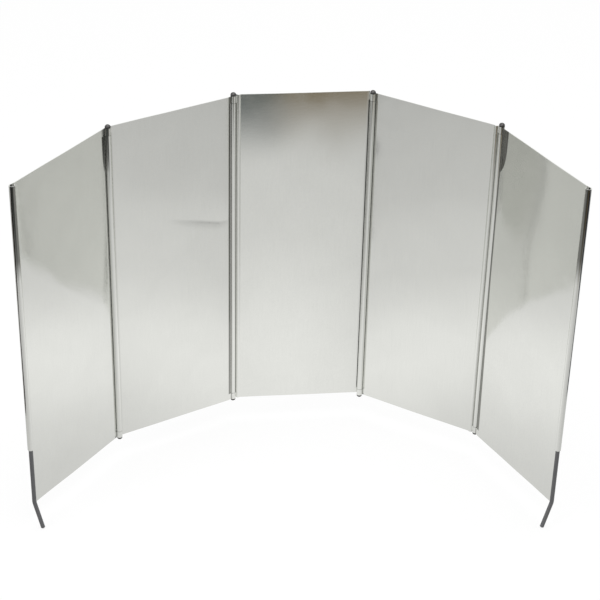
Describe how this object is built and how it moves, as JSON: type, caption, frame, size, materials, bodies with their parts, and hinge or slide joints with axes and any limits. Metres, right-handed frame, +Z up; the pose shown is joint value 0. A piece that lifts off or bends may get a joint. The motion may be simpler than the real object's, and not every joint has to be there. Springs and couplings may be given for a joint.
{
  "type": "stove windscreen",
  "caption": "Folding stove windscreen of flat aluminium panels on wire-pinned rolled hinges, with a bent wire stake sliding in the rolled edge of each end panel.",
  "frame": {"origin": "middle of the centre panel's bottom edge, at mid-thickness of the sheet", "axes": "+X along the centre panel, to the right as seen from the stove; +Y away from the stove, to the back; +Z up"},
  "size_m": [0.3456, 0.1426, 0.2596],
  "materials": {
    "sheet": "bare mill-finish rolled sheet, half bright",
    "wire": "plain drawn steel wire"
  },
  "bodies": {
    "centre": {"centre_panel": "sheet", "left_hinge_pin": "wire", "right_hinge_pin": "wire"},
    "left_inner": {"left_panel": "sheet", "left_end_hinge_pin": "wire"},
    "left_outer": {"left_end_panel": "sheet"},
    "right_inner": {"right_panel": "sheet", "right_end_hinge_pin": "wire"},
    "right_outer": {"right_end_panel": "sheet"},
    "left_peg": {"left_stake": "wire"},
    "right_peg": {"right_stake": "wire"}
  },
  "joints": [
    {"name": "left_fold", "type": "hinge", "parent": "centre", "child": "left_inner", "pos_m": [-0.0455, 0.0011, 0], "axis": [0, 0, -1], "range_deg": [-15, 203]},
    {"name": "left_end_fold", "type": "hinge", "parent": "left_inner", "child": "left_outer", "pos_m": [-0.12704, -0.03935, 0], "axis": [0, 0, 1], "range_deg": [-26, 148]},
    {"name": "right_fold", "type": "hinge", "parent": "centre", "child": "right_inner", "pos_m": [0.0455, -0.0011, 0], "axis": [0, 0, -1], "range_deg": [-35.5, 142.5]},
    {"name": "right_end_fold", "type": "hinge", "parent": "right_inner", "child": "right_outer", "pos_m": [0.12086, -0.05215, 0], "axis": [0, 0, 1], "range_deg": [-50.7, 203.5]},
    {"name": "left_stake_slide", "type": "slide", "parent": "left_outer", "child": "left_peg", "axis": [0, 0, 1], "range_m": [0, 0.04]},
    {"name": "right_stake_slide", "type": "slide", "parent": "right_outer", "child": "right_peg", "axis": [0, 0, 1], "range_m": [0, 0.04]}
  ],
  "couplings": [
    {"joint": "right_end_fold", "follows": "right_fold", "ratio": 1.428}
  ]
}
